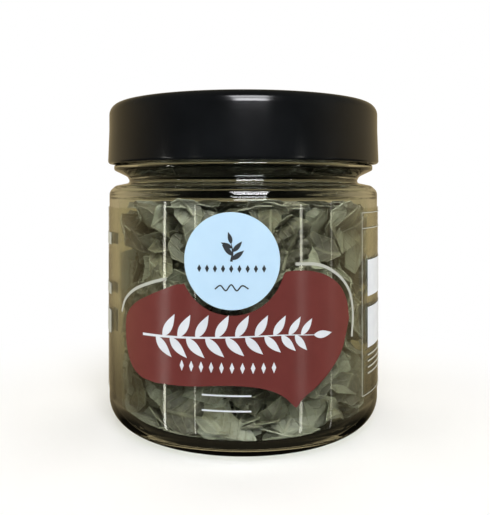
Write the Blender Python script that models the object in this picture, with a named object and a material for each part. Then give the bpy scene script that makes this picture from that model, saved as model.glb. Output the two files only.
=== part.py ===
"""Glass storage jar with a twist-off metal lid and a clear wrap label, filled with coarsely torn dried curry leaves.

Row frame: origin on the jar's axis at the plane it stands on, +Z up, the label's middle faces -Y. Metres throughout.
The lid carries four lugs that run under four helical ridges on the glass finish, so it rises as it is turned.
The leaves are separate pieces, each laid against the glass, the floor or its neighbours until it is clear of them.
"""

import math

import bmesh
import bpy
import numpy as np
from mathutils import Matrix, Vector
from mathutils.bvhtree import BVHTree

# ---------------------------------------------------------------- driving dimensions
SEGMENTS = 60  # facets round every turned piece
ARC_STEPS = 4  # straight pieces in a quarter-round corner

BODY_RADIUS = 0.0360
BODY_INNER_RADIUS = 0.0336
TOTAL_HEIGHT = 0.0837
SHOULDER_Z = 0.0620  # outer edge of the shoulder
NECK_RADIUS = 0.0308
NECK_Z = 0.0636
BORE_RADIUS = 0.0287
FINISH_RADIUS = 0.0332  # glass wall behind the thread ridges
BEAD_RADIUS = 0.0348
BEAD_Z = 0.0669
RIM_Z = 0.0822
HEEL_RADIUS = 0.0070  # corner between body wall and foot
FOOT_INNER_RADIUS = 0.0262
PUSH_UP = 0.0020  # how far the base is domed inwards
FLOOR_Z = 0.0052  # inside floor at the centre

LID_RADIUS = 0.0361
LID_SHEET = 0.00035
LID_BOTTOM_Z = 0.0678
LID_CORNER = 0.0030
LID_PANEL_RADIUS = 0.0262
LID_PANEL_DROP = 0.0007
CURL_RADIUS = 0.00075
GASKET_THICKNESS = 0.0009
GASKET_INNER_RADIUS = 0.0284
GASKET_OUTER_RADIUS = 0.0342

LUGS = 4
LUG_TIP_RADIUS = 0.0338
LUG_HEIGHT = 0.0015
LUG_ANGLE = math.radians(12)
RIDGE_RADIUS = 0.0345
RIDGE_HEIGHT = 0.0016
RIDGE_ANGLE = math.radians(74)
RIDGE_START = math.radians(-8)  # from the middle of a lug in the closed position
LEAD = 0.0085  # rise for one whole turn of the lid

LABEL_BOTTOM_Z = 0.0102
LABEL_TOP_Z = 0.0566
LABEL_SHEET = 0.00012
LABEL_SEAM = math.radians(8)  # open strip at the back

GAP = 0.00012  # between pieces that touch
LEAF_SHEET = 0.00045
LEAF_GAP = 0.0003
LEAF_TOP_Z = 0.0605
SEED = 23

# how many leaf pieces lie on the floor, stand round the wall, fill the middle and lie on top
FLOOR_LEAVES, WALL_LEAVES, CORE_LEAVES, TOP_LEAVES, STALKS = 5, 34, 3, 6, 3
LEAF_LENGTH = (0.018, 0.029)
LEAF_WIDTH = (0.012, 0.018)
STALK_LENGTH = (0.018, 0.026)
STALK_RADIUS = 0.0006
PLASTIC_NUMBER = 1.3247179572  # its powers spread points evenly over two directions at once


# ---------------------------------------------------------------- materials
def material(name, colour, roughness, metallic=0.0, transmission=0.0):
    made = bpy.data.materials.new(name)
    made.use_nodes = True
    shader = made.node_tree.nodes["Principled BSDF"]
    shader.inputs["Base Color"].default_value = (*colour, 1.0)
    shader.inputs["Roughness"].default_value = roughness
    shader.inputs["Metallic"].default_value = metallic
    shader.inputs["Transmission Weight"].default_value = transmission
    return made


def materials():
    return {
        "glass": material("soda_lime_glass", (0.86, 0.90, 0.84), 0.02, transmission=1.0),
        "lid": material("lacquered_tinplate", (0.010, 0.011, 0.012), 0.25),
        "gasket": material("plastisol_seal", (0.78, 0.77, 0.72), 0.6),
        "label": material("clear_film", (0.80, 0.80, 0.78), 0.2, transmission=0.8),
        "leaf_grey_green": material("dried_leaf_grey_green", (0.16, 0.18, 0.12), 0.8),
        "leaf_olive": material("dried_leaf_olive", (0.13, 0.13, 0.06), 0.8),
        "leaf_brown": material("dried_leaf_brown", (0.12, 0.10, 0.07), 0.85),
        "stalk": material("dried_stalk", (0.20, 0.17, 0.10), 0.8),
    }


# ---------------------------------------------------------------- turned pieces
def arc(centre, radius, start_deg, end_deg, steps=ARC_STEPS):
    """Points of a circular arc in the (radius, height) plane, both ends included."""
    angles = np.radians(np.linspace(start_deg, end_deg, steps + 1))
    return [(centre[0] + radius * math.cos(a), centre[1] + radius * math.sin(a)) for a in angles]


def place(name, mesh, finish):
    piece = bpy.data.objects.new(name, mesh)
    bpy.context.scene.collection.objects.link(piece)
    mesh.materials.append(finish)
    return piece


def turned(name, profile, finish, closed=False, angle=2 * math.pi):
    """A Screw modifier turns the profile, which runs down its outer side, about the Z axis."""
    mesh = bpy.data.meshes.new(name)
    count = len(profile)
    edges = [(i, i + 1) for i in range(count - 1)] + ([(count - 1, 0)] if closed else [])
    mesh.from_pydata([(r, 0.0, z) for r, z in profile], edges, [])
    piece = place(name, mesh, finish)
    screw = piece.modifiers.new("Turn", "SCREW")
    screw.axis = "Z"
    screw.angle = angle
    screw.steps = screw.render_steps = max(3, round(SEGMENTS * angle / (2 * math.pi)))
    screw.use_merge_vertices = True
    screw.merge_threshold = 0.00001
    screw.use_smooth_shade = True
    return piece


def inner_profile():
    """The glass's inside, from the floor's centre up to the rim, as (radius, height)."""
    corner = HEEL_RADIUS - (BODY_RADIUS - BODY_INNER_RADIUS)
    low = FLOOR_Z - 0.0008
    shoulder = (BODY_INNER_RADIUS - 0.0028, SHOULDER_Z - 0.0043)
    return (
        [(0.0, FLOOR_Z), (0.018, FLOOR_Z - 0.0003)]
        + arc((BODY_INNER_RADIUS - corner, low + corner), corner, -90, 0)
        + arc(shoulder, 0.0028, 0, 72)
        + [(BORE_RADIUS + 0.0006, SHOULDER_Z - 0.0008), (BORE_RADIUS, SHOULDER_Z + 0.0012)]
        + [(BORE_RADIUS + 0.0002, RIM_Z - 0.0008), (BORE_RADIUS + 0.0008, RIM_Z)]
    )


def outer_profile():
    """The glass's outside, from the rim down to the middle of the base."""
    heel = (BODY_RADIUS - HEEL_RADIUS, HEEL_RADIUS)
    shoulder = (BODY_RADIUS - 0.0020, SHOULDER_Z - 0.0020)
    return (
        arc((FINISH_RADIUS - 0.0008, RIM_Z - 0.0008), 0.0008, 90, 0, 2)
        + [(FINISH_RADIUS, BEAD_Z + 0.0013)]
        + arc((BEAD_RADIUS - 0.0008, BEAD_Z), 0.0008, 50, -50, 2)
        + [(NECK_RADIUS + 0.0014, NECK_Z + 0.0016), (NECK_RADIUS + 0.0003, NECK_Z + 0.0006)]
        + [(NECK_RADIUS, NECK_Z), (NECK_RADIUS + 0.0005, SHOULDER_Z + 0.0010)]
        + arc(shoulder, 0.0020, 76, 0)
        + arc(heel, HEEL_RADIUS, 0, -90, ARC_STEPS + 1)
        + [(FOOT_INNER_RADIUS, 0.0), (FOOT_INNER_RADIUS - 0.0016, PUSH_UP * 0.5)]
        + [(0.012, PUSH_UP * 0.9), (0.0, PUSH_UP)]
    )


def helical_block(outline, turns_by, steps):
    """A closed solid: the outline, a list of (radius, height) points, carried round Z as it rises by LEAD."""
    start, rise = turns_by[0], LEAD * (turns_by[1] - turns_by[0]) / (2 * math.pi)
    mesh = bmesh.new()
    points = [mesh.verts.new((r * math.cos(start), r * math.sin(start), z)) for r, z in outline]
    face = mesh.faces.new(points)
    bmesh.ops.spin(
        mesh,
        geom=[face, *face.edges, *face.verts],
        cent=(0, 0, 0),
        axis=(0, 0, 1),
        dvec=(0, 0, rise / steps),
        angle=turns_by[1] - turns_by[0],
        steps=steps,
        use_merge=False,
    )
    bmesh.ops.recalc_face_normals(mesh, faces=mesh.faces)
    return mesh


def helper_of(name, blocks, finish):
    """One hidden object holding several closed blocks, for a Boolean to join to another piece."""
    mesh = bpy.data.meshes.new(name)
    whole = bmesh.new()
    for block in blocks:
        block.to_mesh(mesh)
        whole.from_mesh(mesh)
        block.free()
    whole.to_mesh(mesh)
    whole.free()
    helper = place(name, mesh, finish)
    helper.hide_render = True
    helper.display_type = "WIRE"
    return helper


def unite(piece, helper):
    union = piece.modifiers.new("Join " + helper.name, "BOOLEAN")
    union.operation = "UNION"
    union.object = helper


def thread_ridges(finish):
    """Four ridges on the glass finish. Their undersides climb with the lead, one gap above the lugs."""
    underside = LID_BOTTOM_Z + LUG_HEIGHT + 2 * GAP
    buried = FINISH_RADIUS - 0.0006
    blocks = []
    for lug in range(LUGS):
        start = lug * 2 * math.pi / LUGS + RIDGE_START
        low = underside + LEAD * RIDGE_START / (2 * math.pi)
        outline = [
            (buried, low - 0.0002),
            (RIDGE_RADIUS, low + 0.0003),
            (RIDGE_RADIUS, low + 0.0009),
            (buried, low + RIDGE_HEIGHT),
        ]
        blocks.append(helical_block(outline, (start, start + RIDGE_ANGLE), 9))
    return helper_of("thread_ridges", blocks, finish)


def lug_blocks(finish):
    """Four level lugs that stand in from the lid's curl."""
    inside = LID_RADIUS - LID_SHEET + 0.0001
    blocks = []
    for lug in range(LUGS):
        start = lug * 2 * math.pi / LUGS - LUG_ANGLE / 2
        outline = [
            (LUG_TIP_RADIUS, LID_BOTTOM_Z + 0.0003),
            (inside, LID_BOTTOM_Z + 0.0003),
            (inside, LID_BOTTOM_Z + LUG_HEIGHT),
            (LUG_TIP_RADIUS, LID_BOTTOM_Z + LUG_HEIGHT),
        ]
        mesh = helical_block(outline, (start, start + LUG_ANGLE), 2)
        level = LEAD * LUG_ANGLE / (2 * math.pi)
        for vert in mesh.verts:
            turned_by = (math.atan2(vert.co.y, vert.co.x) - start) % (2 * math.pi)
            share = turned_by / LUG_ANGLE if turned_by < math.pi else 0.0
            vert.co.z -= level * share
        blocks.append(mesh)
    return helper_of("lug_blocks", blocks, finish)


def glass_jar(finishes):
    """Wide-mouth jar: floor, wall, shoulder, neck, bead and rim in one piece of glass, with its thread ridges."""
    jar = turned("glass_jar", inner_profile() + outer_profile(), finishes["glass"])
    unite(jar, thread_ridges(finishes["glass"]))


def lid_shell(finishes):
    """Drawn tinplate lid: sunk panel, raised sealing channel, straight skirt, rolled curl and four lugs."""
    top, step = TOTAL_HEIGHT, LID_PANEL_DROP
    curl = (LID_RADIUS + 0.0003 - CURL_RADIUS, LID_BOTTOM_Z + CURL_RADIUS)
    inside = LID_RADIUS - LID_SHEET
    under = top - LID_SHEET
    corner = (LID_RADIUS - LID_CORNER, top - LID_CORNER)
    profile = (
        [(0.0, top - step), (LID_PANEL_RADIUS, top - step), (LID_PANEL_RADIUS + 0.0010, top)]
        + arc(corner, LID_CORNER, 90, 0, 5)
        + arc(curl, CURL_RADIUS, 60, -190, 6)
        + [(inside, LID_BOTTOM_Z + 2 * CURL_RADIUS + 0.0002)]
        + arc(corner, LID_CORNER - LID_SHEET, 0, 90, 5)
        + [(LID_PANEL_RADIUS + 0.0013, under), (LID_PANEL_RADIUS + 0.0003, under - step)]
        + [(0.0, under - step)]
    )
    lid = turned("lid_shell", profile, finishes["lid"])
    unite(lid, lug_blocks(finishes["lid"]))


def lid_gasket(finishes):
    """Sealing ring that fills the lid's channel and closes on the rim."""
    top = TOTAL_HEIGHT - LID_SHEET - GAP
    low = top - GASKET_THICKNESS
    profile = [
        (GASKET_OUTER_RADIUS - 0.0016, top),
        (GASKET_OUTER_RADIUS, top - 0.0008),
        (GASKET_OUTER_RADIUS, low),
        (GASKET_INNER_RADIUS, low),
        (GASKET_INNER_RADIUS, top),
    ]
    turned("lid_gasket", profile, finishes["gasket"], closed=True)


def wrap_label(finishes):
    """Clear film round the body, open along a seam at the back."""
    inner = BODY_RADIUS + GAP
    label = turned(
        "wrap_label",
        [(inner, LABEL_TOP_Z), (inner, LABEL_BOTTOM_Z)],
        finishes["label"],
        angle=2 * math.pi - LABEL_SEAM,
    )
    label.rotation_euler = (0, 0, math.pi / 2 + LABEL_SEAM / 2)
    sheet = label.modifiers.new("Film", "SOLIDIFY")
    sheet.thickness = LABEL_SHEET
    sheet.offset = 1.0


# ---------------------------------------------------------------- leaf pieces
def room_for(points, profile):
    """Whether every point lies inside the glass, a leaf gap off the wall and floor."""
    radii = np.hypot(points[:, 0], points[:, 1])
    heights = points[:, 2]
    floor_side = [p for p in profile if p[1] < HEEL_RADIUS + 0.004]
    floor_r, floor_z = zip(*floor_side, strict=True)
    wall_side = [p for p in profile if p[0] > BORE_RADIUS - 0.001]
    wall_r, wall_z = zip(*sorted(wall_side, key=lambda p: p[1]), strict=True)
    clear_of_wall = radii < np.interp(heights, wall_z, wall_r) - LEAF_GAP
    clear_of_floor = heights > np.interp(radii, floor_r, floor_z) + LEAF_GAP
    return bool((clear_of_wall & clear_of_floor & (heights < LEAF_TOP_Z)).all())


def leaf_sheet(length, width, ends, curl, roll, press, along=5, across=3):
    """A torn leaf as a grid of points, its face towards +Z: x runs sideways and y upwards once it is rolled.

    The half-width follows a sine of the share along the leaf, from a torn end to the tip; the face is pressed
    to a cylinder of radius 1 / press and then curled by three quadratic terms."""
    share = np.linspace(0, 1, along + 1)[:, None]
    side = np.linspace(-1, 1, across + 1)[None, :]
    half_width = width / 2 * np.sin(np.pi * (ends[0] + (ends[1] - ends[0]) * share)) ** 0.7
    x = (share - 0.5) * length + 0 * side
    y = half_width * side
    z = curl[0] * x**2 + curl[1] * y**2 + curl[2] * x * y
    h = x * math.cos(roll) - y * math.sin(roll)
    v = x * math.sin(roll) + y * math.cos(roll)
    return np.stack([h, v, z - press * h**2 / 2], axis=-1)


def grid_faces(rows, columns):
    index = np.arange(rows * columns).reshape(rows, columns)
    corners = [index[:-1, :-1], index[1:, :-1], index[1:, 1:], index[:-1, 1:]]
    return np.stack(corners, axis=-1).reshape(-1, 4)


def plate(grid, half):
    """A closed plate that runs half a thickness either side of the grid: its points and its faces."""
    rows, columns = grid.shape[:2]
    count = rows * columns
    normals = np.cross(np.gradient(grid, axis=0), np.gradient(grid, axis=1))
    normals *= half / np.linalg.norm(normals, axis=-1, keepdims=True)
    index = np.arange(count).reshape(rows, columns)
    rim = np.concatenate([index[0, :-1], index[:-1, -1], index[-1, :0:-1], index[:0:-1, 0]])
    beyond = np.roll(rim, -1)
    face = grid_faces(rows, columns)
    sides = np.stack([rim, beyond, beyond + count, rim + count], axis=-1)
    points = np.concatenate([(grid + normals).reshape(-1, 3), (grid - normals).reshape(-1, 3)])
    return points, np.concatenate([face, face[:, ::-1] + count, sides])


def turn_matrix(azimuth, tilts, lies_flat):
    """Carries +Z to the outward direction at that azimuth, or leaves it upwards, after two small tilts."""
    tilt = Matrix.Rotation(tilts[0], 3, "X") @ Matrix.Rotation(tilts[1], 3, "Y")
    stand = Matrix.Identity(3) if lies_flat else Matrix.Rotation(math.pi / 2, 3, "X")
    return np.array(Matrix.Rotation(azimuth, 3, "Z") @ stand @ tilt)


def settle(grid, start, direction, placed, profile, step=0.0006, most=60):
    """Moves the sheet along direction from start until it is inside the glass and clear of what is placed."""
    half = (LEAF_SHEET + LEAF_GAP) / 2
    for count in range(most):
        moved = grid + start + direction * step * count
        points, faces = plate(moved, half)
        if not room_for(points, profile):
            continue
        tree = BVHTree.FromPolygons([Vector(p) for p in points], faces.tolist())
        low, high = points.min(axis=0), points.max(axis=0)
        near = [t for t, lo, hi in placed if (lo < high).all() and (hi > low).all()]
        if not any(tree.overlap(t) for t in near):
            placed.append((tree, low, high))
            return moved
    return None


def leaf_object(name, grid, finish):
    points, faces = plate(grid, LEAF_SHEET / 2)
    mesh = bpy.data.meshes.new(name)
    mesh.from_pydata(points.tolist(), [], faces.tolist())
    place(name, mesh, finish)


def laid_leaf(draw, kind, number, placed, profile):
    """One leaf piece of its kind: floor, wall, core or top. It tries new tilts until it finds room."""
    for attempt in range(40):
        length, width = draw.uniform(*LEAF_LENGTH), draw.uniform(*LEAF_WIDTH)
        ends = (draw.uniform(0.10, 0.24), draw.uniform(0.84, 0.95))
        curl = draw.uniform(-1, 1, 3) * (9.0, 14.0, 12.0)
        roll = draw.uniform(0, math.pi)
        share = (number / PLASTIC_NUMBER**2 + attempt * 0.37) % 1
        azimuth = 2 * math.pi * number / PLASTIC_NUMBER + attempt * 0.4
        out = np.array([math.sin(azimuth), -math.cos(azimuth), 0.0])
        lies_flat = kind in ("floor", "top")
        press = 1 / BODY_INNER_RADIUS if kind == "wall" else 0.0
        steep = {"floor": 0.15, "wall": 0.16, "core": 0.9, "top": 0.35}[kind]
        turn = turn_matrix(azimuth, draw.uniform(-steep, steep, 2), lies_flat)
        grid = leaf_sheet(length, width, ends, curl, roll, press) @ turn.T
        if kind == "wall":
            start = out * BODY_INNER_RADIUS + (0, 0, 0.012 + share * 0.039)
            found = settle(grid, start, -out, placed, profile)
        elif kind == "core":
            start = out * 0.004 + (0, 0, 0.018 + share * 0.032)
            found = settle(grid, start, np.array([0.0, 0.0, 1.0]), placed, profile, most=30)
        else:
            spread = 0.021 * math.sqrt(share)
            low, way = (FLOOR_Z, 1.0) if kind == "floor" else (LEAF_TOP_Z, -1.0)
            found = settle(grid, out * spread + (0, 0, low), np.array([0.0, 0.0, way]), placed, profile)
        if found is not None:
            return found
    return None


def leaf_pieces(finishes):
    draw = np.random.default_rng(SEED)
    profile = inner_profile()
    shades = ["leaf_grey_green", "leaf_olive", "leaf_grey_green", "leaf_brown"]
    counts = {"floor": FLOOR_LEAVES, "wall": WALL_LEAVES, "top": TOP_LEAVES, "core": CORE_LEAVES}
    placed = []
    made = 0
    for kind, count in counts.items():
        for number in range(count):
            grid = laid_leaf(draw, kind, number, placed, profile)
            if grid is not None:
                made += 1
                leaf_object(f"leaf_piece_{made:02d}", grid, finishes[shades[made % len(shades)]])
    return draw, placed, profile


def stalk_pieces(finishes, draw, placed, profile):
    """Short lengths of leaf stalk, thin bent rods among the leaves."""
    made = 0
    for attempt in range(400):
        if made == STALKS:
            break
        length = draw.uniform(*STALK_LENGTH)
        azimuth = draw.uniform(0, 2 * math.pi)
        height = draw.uniform(0.015, 0.052)
        out = np.array([math.sin(azimuth), -math.cos(azimuth), 0.0])
        strip = leaf_sheet(length, 4 * STALK_RADIUS, (0.5, 0.5), (6.0, 0, 0), draw.uniform(0, math.pi), 20.0, 6, 1)
        strip = strip @ turn_matrix(azimuth, draw.uniform(-0.4, 0.4, 2), False).T
        found = settle(strip, out * BODY_INNER_RADIUS + (0, 0, height), -out, placed, profile, most=25)
        if found is None:
            continue
        made += 1
        line = bpy.data.curves.new(f"stalk_piece_{made}", "CURVE")
        line.dimensions = "3D"
        line.bevel_depth = STALK_RADIUS
        line.bevel_resolution = 1
        line.use_fill_caps = True
        spine = line.splines.new("POLY")
        middle = found.mean(axis=1)
        spine.points.add(len(middle) - 1)
        for point, place_at in zip(spine.points, middle, strict=True):
            point.co = (*place_at, 1.0)
        stalk = bpy.data.objects.new(line.name, line)
        bpy.context.scene.collection.objects.link(stalk)
        line.materials.append(finishes["stalk"])


def main():
    for old in list(bpy.data.objects):
        bpy.data.objects.remove(old)
    finishes = materials()
    glass_jar(finishes)
    lid_shell(finishes)
    lid_gasket(finishes)
    wrap_label(finishes)
    stalk_pieces(finishes, *leaf_pieces(finishes))


main()
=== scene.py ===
"""A glass jar of coarsely torn dried curry leaves, with a black twist-off lid and a printed clear label.

It is laid out as a Blender add-on and run as a script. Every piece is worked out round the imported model:
+Z is up along the jar's axis, the label's middle faces -Y, and lengths are in metres.
"""

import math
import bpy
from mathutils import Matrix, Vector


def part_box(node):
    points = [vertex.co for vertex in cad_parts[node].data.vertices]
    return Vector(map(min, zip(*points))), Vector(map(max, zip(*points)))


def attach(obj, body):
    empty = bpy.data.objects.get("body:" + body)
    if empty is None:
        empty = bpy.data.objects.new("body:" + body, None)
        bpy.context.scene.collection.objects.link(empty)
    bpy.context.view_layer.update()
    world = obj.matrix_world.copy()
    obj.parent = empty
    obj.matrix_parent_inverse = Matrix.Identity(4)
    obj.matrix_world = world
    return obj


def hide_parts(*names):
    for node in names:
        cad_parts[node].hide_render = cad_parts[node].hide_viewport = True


bl_info = {
    "name": "Jar of dried curry leaves",
    "version": (1, 0, 0),
    "blender": (4, 5, 0),
    "location": "3D View > Sidebar > Leaf jar",
    "description": "Builds a storage jar with its lid, label and dried leaves, and a small studio round it",
    "category": "Add Mesh",
}

import bmesh
import bpy
import numpy as np
from bpy.props import FloatProperty, FloatVectorProperty, IntProperty, PointerProperty, StringProperty

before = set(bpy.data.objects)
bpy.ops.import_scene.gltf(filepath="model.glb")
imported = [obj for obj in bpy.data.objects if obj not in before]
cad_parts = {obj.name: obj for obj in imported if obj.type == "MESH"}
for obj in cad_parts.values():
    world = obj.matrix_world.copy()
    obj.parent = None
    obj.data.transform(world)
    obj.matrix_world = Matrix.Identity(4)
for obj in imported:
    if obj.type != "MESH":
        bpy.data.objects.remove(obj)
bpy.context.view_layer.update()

MM = 0.001
JAR_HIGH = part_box("glass_jar")[1]
LID_LOW, LID_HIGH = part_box("lid_shell")
SEAL_LOW, SEAL_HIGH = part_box("lid_gasket")
FILM_LOW, FILM_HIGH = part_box("wrap_label")
LEAF_NODES = sorted(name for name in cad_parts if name.startswith("leaf_piece"))
STALK_NODES = sorted(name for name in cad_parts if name.startswith("stalk_piece"))
FILM_GAP = 0.12 * MM  # between the glass and the label's film
VEIN_SLOPE = 0.85  # how far a side vein runs along the leaf for each step away from the midrib
CROWN = 56.5 * MM  # height where the pile of leaves ends
CROWN_SHARE = 0.4  # the share of a leaf's height over the crown that is kept
LEAF_GAP = 0.28 * MM  # between the middle of a leaf's sheet and the glass
LEAF_SPOKES, LEAF_RINGS = 72, 16
FLAKE_SPOKES, FLAKE_RINGS = 10, 2


# ---------------------------------------------------------------- colours and nodes
def linear(hex_colour):
    """sRGB hex to linear: a channel is c / 12.92 up to 0.04045 and ((c + 0.055) / 1.055) ** 2.4 above
    it."""
    channels = np.array([int(hex_colour[i : i + 2], 16) / 255 for i in (1, 3, 5)])
    light = np.where(channels <= 0.04045, channels / 12.92, ((channels + 0.055) / 1.055) ** 2.4)
    return (*light.tolist(), 1.0)


def add(tree, kind, settings=None, links=None, stops=()):
    """Adds a node of a kind, named without its ShaderNode, and returns it. A setting or link named by a
    number or by a socket's name goes to that input. A link from a node takes its first output. Stops are
    the (place, hex colour) points of a colour ramp."""
    node = tree.nodes.new("ShaderNode" + kind)
    for name, value in (settings or {}).items():
        if isinstance(name, int) or name in node.inputs:
            node.inputs[name].default_value = value
        else:
            setattr(node, name, value)
    for name, source in (links or {}).items():
        start = source.outputs[0] if isinstance(source, bpy.types.Node) else source
        tree.links.new(start, node.inputs[name])
    for number, (place, colour) in enumerate(stops):
        elements = node.color_ramp.elements
        element = elements[number] if number < len(elements) else elements.new(place)
        element.position, element.color = place, linear(colour)
    return node


def new_material(name):
    """An empty material, its node tree and the object's own coordinates in it."""
    made = bpy.data.materials.new(name)
    made.use_nodes = True
    tree = made.node_tree
    tree.nodes.clear()
    return made, tree, add(tree, "TexCoord").outputs["Object"]


def finished(made, shader):
    """Joins the shader to the material's output and returns the material."""
    add(made.node_tree, "OutputMaterial", links={"Surface": shader})
    return made


# ---------------------------------------------------------------- materials
def container_glass(settings):
    """Soda-lime container glass, blown in an iron mould and fire-polished: clear, faintly grey-green
    where it is thick, and slightly rippled by the mould. Lamps shine through it on to what is inside."""
    made, tree, place = new_material("soda_lime_glass")
    ripple = add(tree, "TexNoise", {"Scale": 90.0, "Detail": 1.0}, {"Vector": place})
    bump = add(tree, "Bump", {"Strength": 0.06, "Distance": 0.0003}, {"Height": ripple})
    glass = add(
        tree,
        "BsdfPrincipled",
        {"Base Color": linear(settings.tint), "Roughness": 0.0, "IOR": 1.52, "Transmission Weight": 1.0},
        {"Normal": bump},
    )
    clear = add(tree, "BsdfTransparent", {"Color": linear(settings.shadow_tint)})
    ray = add(tree, "LightPath").outputs["Is Shadow Ray"]
    mix = add(tree, "MixShader", links={0: ray, 1: glass, 2: clear})
    return finished(made, mix)


def lid_lacquer(settings):
    """Stoved black lacquer on drawn tinplate: deep gloss, with a faint orange peel drawn five times too
    coarse so that it shows."""
    made, tree, place = new_material("black_stoving_lacquer")
    peel = add(tree, "TexNoise", {"Scale": 900.0, "Detail": 2.0}, {"Vector": place})
    cloud = add(tree, "TexNoise", {"Scale": 60.0, "Detail": 3.0}, {"Vector": place})
    rough = add(
        tree,
        "MapRange",
        {"From Min": 0.3, "From Max": 0.7, "To Min": 0.13, "To Max": 0.19},
        {"Value": cloud},
    )
    shade = add(tree, "ValToRGB", {}, {0: cloud}, [(0.3, settings.dark), (0.7, settings.light)])
    bump = add(tree, "Bump", {"Strength": 0.06, "Distance": 0.00008}, {"Height": peel})
    lacquer = add(
        tree,
        "BsdfPrincipled",
        {"IOR": 1.5, "Specular IOR Level": 0.38},
        {"Base Color": shade, "Roughness": rough, "Normal": bump},
    )
    return finished(made, lacquer)


def inner_lacquer(settings):
    """Grey food-safe lacquer inside the lid, rolled on before drawing: satin, with fine lines along the
    sheet."""
    made, tree, place = new_material("grey_food_lacquer")
    along = add(tree, "Mapping", {"Scale": (40.0, 1600.0, 40.0)}, {"Vector": place})
    lines = add(tree, "TexNoise", {"Scale": 1.0, "Detail": 2.0}, {"Vector": along})
    stops = [(0.35, settings.inside_dark), (0.65, settings.inside_light)]
    shade = add(tree, "ValToRGB", {}, {0: lines}, stops)
    bump = add(tree, "Bump", {"Strength": 0.1, "Distance": 0.00005}, {"Height": lines})
    lacquer = add(
        tree,
        "BsdfPrincipled",
        {"Roughness": 0.38, "Metallic": 0.3},
        {"Base Color": shade, "Normal": bump},
    )
    return finished(made, lacquer)


def plastisol(settings):
    """Flowed-in plastisol seal: soft off-white compound, matte, with a slightly pitted skin whose pits are
    darkened with painted shade.
    """
    made, tree, place = new_material("plastisol_compound")
    pits = add(tree, "TexNoise", {"Scale": 700.0, "Detail": 3.0}, {"Vector": place})
    # The darker colour in the pits is painted shade, laid where the bump sinks.
    stops = [(0.3, settings.seal_pit_shade), (0.7, settings.seal_light)]
    shade = add(tree, "ValToRGB", {}, {0: pits}, stops)
    bump = add(tree, "Bump", {"Strength": 0.3, "Distance": 0.0001}, {"Height": pits})
    seal = add(tree, "BsdfPrincipled", {"Roughness": 0.62}, {"Base Color": shade, "Normal": bump})
    return finished(made, seal)


def clear_film():
    """Cast polypropylene label film: clear, glossy, only seen where its outward side mirrors a lamp or
    the room."""
    made, tree, place = new_material("clear_polypropylene_film")
    waves = add(tree, "TexNoise", {"Scale": 120.0, "Detail": 1.0}, {"Vector": place})
    bump = add(tree, "Bump", {"Strength": 0.03, "Distance": 0.0003}, {"Height": waves})
    clear = add(tree, "BsdfTransparent", {"Color": linear("#fbfbf8")})
    gloss = add(tree, "BsdfGlossy", {"Roughness": 0.05}, {"Normal": bump})
    mirrored = add(tree, "Fresnel", {"IOR": 1.3}, {"Normal": bump})
    far_side = add(tree, "NewGeometry").outputs["Backfacing"]
    near_side = add(tree, "Math", {"operation": "SUBTRACT", 0: 1.0}, {1: far_side})
    share = add(tree, "Math", {"operation": "MULTIPLY"}, {0: mirrored, 1: near_side})
    mix = add(tree, "MixShader", links={0: share, 1: clear, 2: gloss})
    return finished(made, mix)


def printing_ink(name, colour, darker=None, roughness=0.4):
    """Flexographic ink under a thin varnish on the film: flat colour, with the faint mottle of the
    printing plate where a darker colour is given."""
    made, tree, place = new_material(name)
    waves = add(tree, "TexNoise", {"Scale": 120.0, "Detail": 1.0}, {"Vector": place})
    bump = add(tree, "Bump", {"Strength": 0.03, "Distance": 0.0003}, {"Height": waves})
    ink = add(tree, "BsdfPrincipled", {"Roughness": roughness, "Specular IOR Level": 0.4}, {"Normal": bump})
    if darker is None:
        ink.inputs["Base Color"].default_value = linear(colour)
    else:
        mottle = add(tree, "TexNoise", {"Scale": 260.0, "Detail": 4.0}, {"Vector": place})
        shade = add(tree, "ValToRGB", {}, {0: mottle}, [(0.3, darker), (0.62, colour)])
        tree.links.new(shade.outputs[0], ink.inputs["Base Color"])
    return finished(made, ink)


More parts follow.
